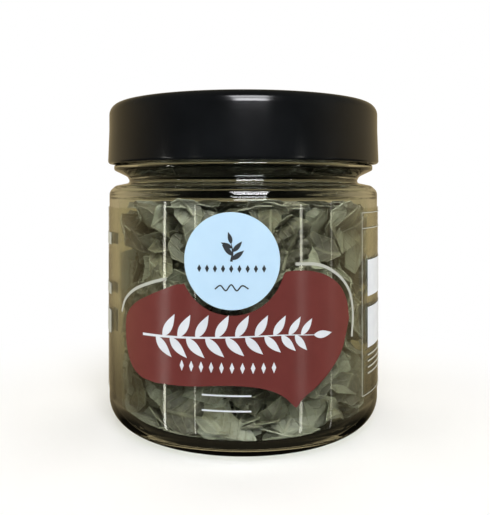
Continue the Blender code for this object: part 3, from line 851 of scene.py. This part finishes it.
def build_label(settings):
    """The film, open along the seam at the back, and the artwork on it: a red panel with a white sprig, a
    pale disc with a dark one, contour lines, and a plain table of panels round the back."""
    seam = math.radians(4)
    angle = np.linspace(-math.pi + seam, math.pi - seam, 240)
    height = np.linspace(FILM_LOW.z, FILM_HIGH.z, 12)[:, None]
    radius = JAR_HIGH.x + FILM_GAP + settings.film / 2
    grid = np.stack([
        radius * np.sin(angle) + 0 * height,
        -radius * np.cos(angle) + 0 * height,
        height + 0 * angle,
    ], axis=-1)
    points, faces = plate(grid, settings.film / 2)
    film = make_piece("label_film", points, faces, [clear_film()], closes=True)
    settle_in(film, "jar", "label_film", "wrap_label")

    red = printing_ink("dark_red_ink", settings.red, settings.red_dark, 0.24)
    blue = printing_ink("pale_blue_ink", settings.blue, settings.blue_dark)
    white = printing_ink("white_ink", settings.white, settings.white_dark)
    charcoal = printing_ink("charcoal_ink", settings.charcoal)
    fine = printing_ink("fine_white_ink", settings.fine)

    print_piece("print_red_panel", *red_panel(settings), 0, red, settings)
    middle = (0.0, settings.disc_height)
    print_piece("print_pale_disc", *disc(middle, settings.disc), 0, blue, settings)

    stem = smooth_path([(-22.5, 27.6), (-12, 28.0), (0, 28.6), (11, 28.9), (19, 28.4)], 60)
    for number, shape in enumerate(sprig(stem, 9, 6.2 * MM, math.radians(52))):
        print_piece(f"print_white_sprig_{number:02d}", *shape, 1, white, settings)
    stem = smooth_path([(0.0, 45.3), (0.3, 47.4), (0.0, 49.2)], 20)
    for number, shape in enumerate(sprig(stem, 2, 3.4 * MM, math.radians(48))):
        print_piece(f"print_dark_sprig_{number:02d}", *shape, 1, charcoal, settings)

    for number, across in enumerate(np.linspace(-11.4, 9.4, 10)):
        print_piece(f"print_panel_lozenge_{number}", *lozenge(across, 21.8, 1.0, 2.4), 1, white, settings)
    for number, across in enumerate(np.linspace(-7.2, 7.2, 9)):
        print_piece(f"print_disc_lozenge_{number}", *lozenge(across, 43.7, 0.9, 1.7), 1, charcoal, settings)
    wave = [(-3.6, 39.2), (-2.4, 40.0), (-1.2, 38.9), (0.0, 40.2), (1.2, 38.9), (2.4, 40.0), (3.8, 39.3)]
    left_path = [(-31.4, 31.6), (-29.6, 34.8), (-25.6, 37.6), (-20.3, 39.6), (-15.4, 41.0)]
    right_path = [(14.4, 44.6), (20.5, 44.1), (26.0, 41.4), (29.8, 37.4), (31.2, 32.4), (30.8, 26.5)]
    thin, arc_width = settings.line / 2, 0.35 * MM
    lines = {
        "print_disc_wave": (ribbon(smooth_path(wave, 60), np.full(60, 0.15 * MM)), charcoal),
        "print_lower_rule_a": (rule((-6.6, 15.7), (4.4, 15.7), settings.line), white),
        "print_lower_rule_b": (rule((-6.6, 12.3), (4.4, 12.3), settings.line), white),
        "print_contour_left": (ribbon(smooth_path(left_path, 50), np.full(50, arc_width)), fine),
        "print_contour_right": (ribbon(smooth_path(right_path, 70), np.full(70, arc_width)), fine),
        "print_side_line": (rule((35.4, 11.2), (35.4, 55.5), thin), fine),
        "print_side_head": (rule((35.4, 55.5), (72.0, 55.5), thin, 60), fine),
        "print_side_head_b": (rule((35.4, 51.7), (72.0, 51.7), thin, 60), fine),
        "print_side_foot": (rule((35.4, 11.2), (72.0, 11.2), thin, 60), fine),
        "print_side_end": (rule((72.0, 11.2), (72.0, 55.5), thin), fine),
        "print_side_panel_upper": (block(38.5, 69.0, 35.0, 43.9, 60), white),
        "print_side_panel_lower": (block(38.5, 69.0, 22.4, 32.3, 60), white),
        "print_back_panel": (block(-70.0, -50.0, 30.0, 44.0, 40), white),
    }
    for number in range(4):
        at = 20.6 - 1.5 * number
        end = (67.0 - 4 * (number % 2), at)
        lines[f"print_side_rule_{number}"] = (rule((38.6, at), end, settings.line, 60), fine)
    for number, (low, high) in enumerate([(47.2, 50.2), (34.6, 37.4), (24.8, 30.6)]):
        lines[f"print_left_block_{number}"] = (block(-48.0, -39.4, low, high), fine)
    for name, (shape, ink) in lines.items():
        print_piece(name, *shape, 1, ink, settings)


# ---------------------------------------------------------------- leaves
def waves(place, draw, longest, octaves, ridged):
    """Crumpled relief: a sum of sine waves in random directions, each octave about half as long and as
    deep as the one before. Ridged octaves are folded by 1 - |sin|, which leaves creases."""
    total = 0.0
    for octave in range(octaves):
        turn, phase = draw.uniform(0, math.pi), draw.uniform(0, 2 * math.pi, 2)
        wave = 2 * math.pi / (longest * 0.55**octave)
        first = place[..., 0] * math.cos(turn) + place[..., 1] * math.sin(turn)
        second = place[..., 1] * math.cos(turn) - place[..., 0] * math.sin(turn)
        value = np.sin(first * wave + phase[0] + 1.4 * np.sin(second * wave * 0.6 + phase[1]))
        total = total + 0.6**octave * (1 - 2 * np.abs(value) if octave < ridged else value)
    return total


def stay_inside(points, inner, margin):
    """Pulls points that would pass through the glass back to a margin inside its inner profile, and
    presses down what stands above the crown to a share of its height over it."""
    over = points[..., 2] - CROWN
    lowered = np.where(over > 0, CROWN + CROWN_SHARE * over, points[..., 2])
    points = np.stack([points[..., 0], points[..., 1], lowered], axis=-1)
    floor_side = inner[inner[:, 1] < 14 * MM]
    wall_side = inner[(inner[:, 0] > 28 * MM) & (inner[:, 1] > 5 * MM)]
    radius = np.hypot(points[..., 0], points[..., 1])
    order = np.argsort(wall_side[:, 1])
    limit = np.interp(points[..., 2], wall_side[order, 1], wall_side[order, 0]) - margin
    pull = np.minimum(radius, limit) / np.maximum(radius, 1e-9)
    floor = np.interp(radius * pull, floor_side[:, 0], floor_side[:, 1]) + margin
    height = np.maximum(points[..., 2], floor)
    return np.stack([points[..., 0] * pull, points[..., 1] * pull, height], axis=-1)


def node_points(node):
    """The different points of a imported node's mesh, to a thousandth of a millimetre."""
    return np.unique(np.round([vertex.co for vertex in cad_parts[node].data.vertices], 6), axis=0)


def fitted_leaf(node, spokes):
    """Reads a leaf's solid. Its length, width and thickness directions are the principal axes of its
    points, its bend is the least-squares quadratic surface through them, and its outline is their convex
    hull seen along the thickness: for each spoke, the least of support / cosine over all directions."""
    points = node_points(node)
    centre = points.mean(axis=0)
    axes = np.linalg.svd(points - centre)[2]
    axes[2] = np.cross(axes[0], axes[1])
    x, y, z = ((points - centre) @ axes.T).T
    terms = np.stack([np.ones_like(x), x, y, x * x, x * y, y * y], axis=-1)
    bend = np.linalg.lstsq(terms, z, rcond=None)[0]
    around = np.linspace(0, 2 * math.pi, 240, endpoint=False)
    support = (np.outer(x, np.cos(around)) + np.outer(y, np.sin(around))).max(axis=0)
    cosine = np.cos(spokes[:, None] - around[None, :])
    reach = np.where(cosine > 0.05, support / np.maximum(cosine, 0.05), np.inf).min(axis=1)
    return centre, axes, bend, reach


def torn_leaf(centre, axes, bend, reach, spokes, rings, draw, settings, inner, crumple):
    """One leaf as a disc of rings and spokes on its quadratic bend. Its outline is torn inwards by small
    jagged waves, its face is crumpled, grooved along the midrib and between the veins, and its edge
    curls."""
    rows = np.linspace(0, 1, rings + 1)[:, None] ** 0.85
    jag = np.zeros_like(spokes)
    for wave, depth in ((2, 0.07), (5, 0.05), (11, 0.035), (23, 0.025)):
        jag += depth * np.sin(wave * spokes + draw.uniform(0, 2 * math.pi))
    bite_at, bite_depth = draw.uniform(0, 2 * math.pi), draw.uniform(0.0, 0.3)
    jag += bite_depth * np.exp(-((np.angle(np.exp(1j * (spokes - bite_at))) / 0.5) ** 2))
    edge = reach * (1 - np.clip(jag + 0.03, 0, 0.5))
    x, y = rows * edge * np.cos(spokes), rows * edge * np.sin(spokes)
    place = np.stack([x, y], axis=-1)
    relief = crumple * waves(place, draw, draw.uniform(10, 15) * MM, 5, 3) * (0.35 + 0.65 * rows)
    rib_depth, rib_width, vein_height = 0.35 * MM, 0.7 * MM, 0.07 * MM
    ripple_height, most_curl = 0.55 * MM, 1.6 * MM
    relief = relief - rib_depth * np.exp(-((y / rib_width) ** 2))
    vein_place = (x - VEIN_SLOPE * np.abs(y)) / settings.vein_spacing
    relief = relief + vein_height * np.cos(2 * math.pi * vein_place)
    ripple = np.sin(draw.integers(5, 9) * spokes + draw.uniform(0, 6)) * ripple_height
    curl = draw.uniform(-most_curl, most_curl) * (0.6 + 0.4 * np.cos(spokes - draw.uniform(0, 6)))
    relief = relief + rows**4 * (ripple + curl)
    height = bend @ np.stack([np.ones_like(x), x, y, x * x, x * y, y * y]).reshape(6, -1)
    height = height.reshape(x.shape) + relief
    grid = centre + x[..., None] * axes[0] + y[..., None] * axes[1] + height[..., None] * axes[2]
    grid = stay_inside(grid, inner, LEAF_GAP)
    points, faces = plate(grid, settings.sheet / 2, round_columns=True)
    own = np.stack([x, y, 0 * x], axis=-1).reshape(-1, 3)
    look = np.stack([0 * x, 0 * x, rows + 0 * x], axis=-1).reshape(-1, 3)
    over, under = look.copy(), look.copy()
    over[:, 0] = under[:, 0] = draw.choice([draw.uniform(0.0, 0.3), draw.uniform(0.4, 0.78)], p=[0.42, 0.58])
    pale_side = draw.random() < 0.5
    over[:, 1], under[:, 1] = float(pale_side), float(not pale_side)
    return points, faces, np.concatenate([own, own]), np.concatenate([over, under])


def build_leaves(settings, glass):
    """A torn, crumpled leaf for each leaf solid, in that solid's place."""
    draw = np.random.default_rng(settings.seed)
    finish, inner = dried_leaf(settings), inner_glass(glass)
    spokes = np.linspace(0, 2 * math.pi, LEAF_SPOKES, endpoint=False)
    for node in LEAF_NODES:
        centre, axes, bend, reach = fitted_leaf(node, spokes)
        crumple = settings.crumple * draw.uniform(0.45, 1.15)
        shape = (centre, axes, bend, reach, spokes, LEAF_RINGS)
        points, faces, own, look = torn_leaf(*shape, draw, settings, inner, crumple)
        fields = {"leaf_place": own, "leaf_look": look}
        leaf = make_piece(f"torn_{node}", points, faces, [finish], fields, closes=True)
        settle_in(leaf, "jar", "dried_leaf", node)
    return finish


def flake_places(draw, count, glass):
    """Middles and outward directions for the flakes: five in eight stand near the wall, one in eight lies
    over the top and the rest lie on the floor. Radii are drawn so that each layer is evenly filled."""
    azimuth = draw.uniform(0, 2 * math.pi, count)
    kind = draw.random(count)
    wall_share, top_share = 0.62, 0.12
    at_wall, on_floor = kind < wall_share, kind > wall_share + top_share
    inside = glass.radius - glass.wall
    wall_radius = np.sqrt(draw.uniform((inside * 0.70) ** 2, (inside * 0.97) ** 2, count))
    flat_radius = np.sqrt(draw.uniform(0, (inside * 0.92) ** 2, count))
    radius = np.where(at_wall, wall_radius, flat_radius)
    span = glass.shoulder - 4 * MM - glass.floor
    wall_height = glass.floor + span * draw.random(count) ** 1.25
    floor_height = glass.floor + draw.uniform(0.3, 4.5, count) * MM
    top_height = draw.uniform(glass.shoulder - 9 * MM, glass.shoulder - 2.5 * MM, count)
    height = np.where(at_wall, wall_height, np.where(on_floor, floor_height, top_height))
    middle = np.stack([radius * np.cos(azimuth), radius * np.sin(azimuth), height], axis=-1)
    outward = np.stack([np.cos(azimuth), np.sin(azimuth), 0 * azimuth], axis=-1)
    upward = np.tile([0.0, 0.0, 1.0], (count, 1))
    facing = np.where(at_wall[:, None], outward, upward)
    facing = unit(facing + draw.normal(0, 0.42, (count, 3)))
    return middle, facing


def build_flakes(settings, glass, finish):
    """Small torn pieces between the leaves, as one mesh. Each is a disc of two rings and ten spokes."""
    draw = np.random.default_rng(settings.seed + 1)
    inner = inner_glass(glass)
    spokes = np.linspace(0, 2 * math.pi, FLAKE_SPOKES, endpoint=False)
    middles, facings = flake_places(draw, settings.flakes, glass)
    parts, first = [], 0
    for middle, facing in zip(middles, facings, strict=True):
        beside = unit(np.cross(facing, unit(draw.normal(0, 1, 3))))
        axes = np.stack([beside, np.cross(facing, beside), facing])
        long, wide = draw.uniform(4.0, 8.5) * MM, draw.uniform(3.0, 6.0) * MM
        reach = 1 / np.hypot(np.cos(spokes) / long, np.sin(spokes) / wide)
        bend = np.array([0, 0, 0, *draw.normal(0, 22, 3)])
        shape = (middle, axes, bend, reach, spokes, FLAKE_RINGS)
        points, faces, own, look = torn_leaf(*shape, draw, settings, inner, settings.crumple * 0.4)
        parts.append((points, faces + first, own, look))
        first += len(points)
    points, faces, own, look = (np.concatenate(column) for column in zip(*parts, strict=True))
    fields = {"leaf_place": own, "leaf_look": look}
    flakes = make_piece("leaf_flakes", points, faces, [finish], fields)
    settle_in(flakes, "jar", "dried_leaf")


def build_stalks(settings):
    """Each stalk is a grooved round section carried along the middle of its solid, thicker at one end."""
    finish = dried_stalk(settings)
    draw = np.random.default_rng(settings.seed + 2)
    around = np.linspace(0, 2 * math.pi, 14, endpoint=False)
    share = np.linspace(0, 1, 40)
    for node in STALK_NODES:
        points = node_points(node)
        centre = points.mean(axis=0)
        axes = np.linalg.svd(points - centre)[2]
        x, y, z = ((points - centre) @ axes.T).T
        along = x.min() + (x.max() - x.min()) * share
        side, lift = (np.polyval(np.polyfit(x, offset, 3), along) for offset in (y, z))
        spine = centre + np.outer(along, axes[0]) + np.outer(side, axes[1]) + np.outer(lift, axes[2])
        thick = 0.5 * MM * (1.15 - 0.4 * share) * (1 + 0.08 * np.sin(share * 40 + draw.uniform(0, 6)))
        thick = thick * np.sqrt(np.clip(1 - (2 * share - 1) ** 16, 0, 1))
        groove = 1 + 0.10 * np.cos(5 * around + draw.uniform(0, 6))
        ring = np.cos(around)[:, None] * axes[1] + np.sin(around)[:, None] * axes[2]
        grid = spine[:, None, :] + (thick[:, None] * groove)[..., None] * ring[None, :, :]
        own = np.stack(np.broadcast_arrays(share[:, None], around[None, :] / (2 * math.pi), 0.0), axis=-1)
        faces = grid_faces(len(share), len(around), wrap_columns=True)
        stalk = make_piece(f"dry_{node}", grid, faces, [finish], {"stalk_place": own}, closes=True)
        settle_in(stalk, "jar", "dried_stalk", node)


# ---------------------------------------------------------------- studio
def build_floor(settings):
    """A pale paper floor: a wide level disc, lit evenly white from a hand's breadth out, so that it has
    no far edge. The glass doesn't mirror it."""
    made, tree, place = new_material("matt_studio_paper")
    fibre = add(tree, "TexNoise", {"Scale": 400.0, "Detail": 3.0}, {"Vector": place})
    bump = add(tree, "Bump", {"Strength": 0.05, "Distance": 0.0001}, {"Height": fibre})
    paper = add(
        tree,
        "BsdfPrincipled",
        {"Base Color": linear(settings.floor_colour), "Roughness": 0.9, "Specular IOR Level": 0.1},
        {"Normal": bump},
    )
    glow = add(tree, "Emission", {"Color": linear("#ffffff"), "Strength": 1.0})
    away = add(tree, "VectorMath", {"operation": "LENGTH"}, {0: place}).outputs["Value"]
    share = add(
        tree,
        "MapRange",
        {"interpolation_type": "SMOOTHSTEP", "From Min": 0.04, "From Max": 0.12},
        {"Value": away},
    )
    mix = add(tree, "MixShader", links={0: share, 1: paper, 2: glow})
    finished(made, mix)
    radius = np.array([0.0, 0.3, 1.0, 4.0])[:, None]
    azimuth = np.linspace(0, 2 * math.pi, 64, endpoint=False)
    points = np.stack(
        np.broadcast_arrays(radius * np.cos(azimuth), radius * np.sin(azimuth), -0.05 * MM), axis=-1
    )
    floor = make_piece("studio_floor", points, grid_faces(4, 64, wrap_columns=True), [made], closes=True)
    if floor.data.polygons[0].normal.z < 0:
        floor.data.flip_normals()
    floor.visible_glossy = False
    floor.visible_transmission = False


def build_surroundings(settings):
    """The world: white behind the jar, and for everything else a room that is dark on the camera's side
    and warm and light on the far side, darker below and above."""
    world = bpy.data.worlds.new("studio_room")
    world.use_nodes = True
    tree = world.node_tree
    tree.nodes.clear()
    way = add(tree, "SeparateXYZ", links={0: add(tree, "TexCoord").outputs["Generated"]})
    level = add(tree, "MapRange", {"From Min": -1.0, "From Max": 1.0}, {"Value": way.outputs[2]})
    bands = [
        (0.26, settings.low), (0.40, settings.surroundings), (0.60, settings.surroundings),
        (0.85, settings.high),
    ]
    room = add(tree, "ValToRGB", {}, {0: level}, bands)
    behind = add(
        tree,
        "MapRange",
        {"interpolation_type": "SMOOTHSTEP", "From Min": -0.7, "From Max": 0.4},
        {"Value": way.outputs[1]},
    )
    around = add(
        tree, "Mix", {"data_type": "RGBA", 6: linear(settings.camera_side)}, {0: behind, 7: room}
    )
    ray = add(tree, "LightPath").outputs["Is Camera Ray"]
    shown = add(tree, "Mix", {"data_type": "RGBA", 7: (1, 1, 1, 1)}, {0: ray, 6: around.outputs[2]})
    light = add(tree, "Background", links={"Color": shown.outputs[2]})
    add(tree, "OutputWorld", links={"Surface": light})
    bpy.context.scene.world = world


def add_lamp(name, azimuth, distance, height, size, power, tint, aim, settings):
    """A rectangular lamp, hidden from the camera, at a turn from the camera's own side and facing a
    height on the jar's axis."""
    lamp = bpy.data.lights.new(name, "AREA")
    lamp.shape = "RECTANGLE"
    lamp.size, lamp.size_y = size
    lamp.energy = power
    lamp.color = linear(tint)[:3]
    lamp_object = bpy.data.objects.new(name, lamp)
    turn = settings.azimuth + math.radians(azimuth)
    lamp_object.location = (distance * math.sin(turn), -distance * math.cos(turn), height)
    tilt = math.atan2(height - aim, distance)
    lamp_object.rotation_euler = (math.pi / 2 - tilt, 0, turn)
    lamp_object.visible_camera = False
    bpy.context.scene.collection.objects.link(lamp_object)
    return lamp_object


def build_lamps(settings):
    """A soft key above the camera, a fill from each side and thin upright strips that draw the lines on
    the glass."""
    add_lamp("key_softbox", 6, 0.40, 0.48, (0.26, 0.20), 2.35, "#fbfbff", 0.04, settings)
    glint = add_lamp("low_softbox", 6, 0.46, 0.27, (0.22, 0.14), 2.2, "#fbfbff", 0.06, settings)
    glint.visible_diffuse = False
    fills = {"left": (-75, 2.6), "right": (78, 2.2), "back_left": (-145, 1.8), "back_right": (145, 1.8)}
    for name, (side, power) in fills.items():
        fill = add_lamp(f"{name}_fill", side, 0.60, 0.30, (0.5, 0.5), power, "#fdfbf7", 0.03, settings)
        fill.visible_glossy = False
        fill.visible_transmission = False
    strips = {
        "far_left": (-63.8, 0.018, 1.1), "near_left": (-37.4, 0.008, 0.8),
        "near_right": (45.2, 0.020, 0.7), "far_right": (72.8, 0.010, 0.3),
    }
    power_for_width, low = 9.0, -0.08
    for name, (side, width, strength) in strips.items():
        power = power_for_width * strength * width
        strip = add_lamp(f"{name}_strip", side, 0.50, low, (width, 0.30), power, "#fffdf5", low, settings)
        strip.visible_transmission = False


def build_camera(settings):
    """The camera, level and turned a little from the label's middle, with a lens shift that frames the
    jar."""
    camera = bpy.data.cameras.new("front_camera")
    camera.lens = settings.lens
    camera.shift_x, camera.shift_y = settings.shift
    camera.clip_start = 0.01
    view = bpy.data.objects.new("front_camera", camera)
    turn, away = settings.azimuth, settings.distance
    view.location = (away * math.sin(turn), -away * math.cos(turn), settings.eye)
    view.rotation_euler = (math.pi / 2, 0, turn)
    bpy.context.scene.collection.objects.link(view)
    bpy.context.scene.camera = view


# ---------------------------------------------------------------- operators
class Step:
    """What the operators share: each builds its pieces from the scene's settings."""

    def execute(self, context):
        self.build(context.scene)
        return {"FINISHED"}


class LEAFJAR_OT_glass(Step, bpy.types.Operator):
    """Adds the glass jar"""

    bl_idname = "leafjar.glass"
    bl_label = "Glass jar"

    def build(self, scene):
        build_glass(scene.jar_glass)


class LEAFJAR_OT_lid(Step, bpy.types.Operator):
    """Adds the twist-off lid"""

    bl_idname = "leafjar.lid"
    bl_label = "Lid"

    def build(self, scene):
        build_lid(scene.jar_lid)


class LEAFJAR_OT_seal(Step, bpy.types.Operator):
    """Adds the seal ring inside the lid"""

    bl_idname = "leafjar.seal"
    bl_label = "Seal ring"

    def build(self, scene):
        build_seal(scene.jar_lid)


class LEAFJAR_OT_label(Step, bpy.types.Operator):
    """Adds the clear film and its printed shapes"""

    bl_idname = "leafjar.label"
    bl_label = "Label"

    def build(self, scene):
        build_label(scene.jar_label)


class LEAFJAR_OT_leaves(Step, bpy.types.Operator):
    """Adds the torn leaves and the flakes between them"""

    bl_idname = "leafjar.leaves"
    bl_label = "Leaves and flakes"

    def build(self, scene):
        finish = build_leaves(scene.jar_leaves, scene.jar_glass)
        build_flakes(scene.jar_leaves, scene.jar_glass, finish)


class LEAFJAR_OT_stalks(Step, bpy.types.Operator):
    """Adds the short lengths of stalk"""

    bl_idname = "leafjar.stalks"
    bl_label = "Stalks"

    def build(self, scene):
        build_stalks(scene.jar_leaves)


class LEAFJAR_OT_studio(Step, bpy.types.Operator):
    """Adds the camera, floor, surroundings and lamps"""

    bl_idname = "leafjar.studio"
    bl_label = "Studio"

    def build(self, scene):
        build_camera(scene.jar_studio)
        build_floor(scene.jar_studio)
        build_surroundings(scene.jar_studio)
        build_lamps(scene.jar_studio)
        scene.view_settings.view_transform = "Standard"
        scene.cycles.transmission_bounces = 12
        scene.cycles.transparent_max_bounces = 16


STEPS = ("glass", "lid", "seal", "label", "leaves", "stalks", "studio")
SETTINGS = {
    "jar_glass": GlassSettings, "jar_lid": LidSettings, "jar_label": LabelSettings,
    "jar_leaves": LeafSettings, "jar_studio": StudioSettings,
}


class LEAFJAR_PT_panel(bpy.types.Panel):
    """Lists the pieces in the 3D view's sidebar"""

    bl_idname = "LEAFJAR_PT_panel"
    bl_label = "Leaf jar"
    bl_space_type = "VIEW_3D"
    bl_region_type = "UI"
    bl_category = "Leaf jar"

    def draw(self, context):
        for step in STEPS:
            self.layout.operator(f"leafjar.{step}")
        for name, kind in SETTINGS.items():
            box = self.layout.box()
            for field in kind.__annotations__:
                box.prop(getattr(context.scene, name), field)


CLASSES = (
    *SETTINGS.values(), LEAFJAR_OT_glass, LEAFJAR_OT_lid, LEAFJAR_OT_seal, LEAFJAR_OT_label,
    LEAFJAR_OT_leaves, LEAFJAR_OT_stalks, LEAFJAR_OT_studio, LEAFJAR_PT_panel,
)


def register():
    for kind in CLASSES:
        bpy.utils.register_class(kind)
    for name, kind in SETTINGS.items():
        setattr(bpy.types.Scene, name, PointerProperty(type=kind))


def unregister():
    for name in SETTINGS:
        delattr(bpy.types.Scene, name)
    for kind in reversed(CLASSES):
        bpy.utils.unregister_class(kind)


def main():
    register()
    for step in STEPS:
        getattr(bpy.ops.leafjar, step)()
    bpy.context.view_layer.update()


if __name__ == "__main__":
    main()
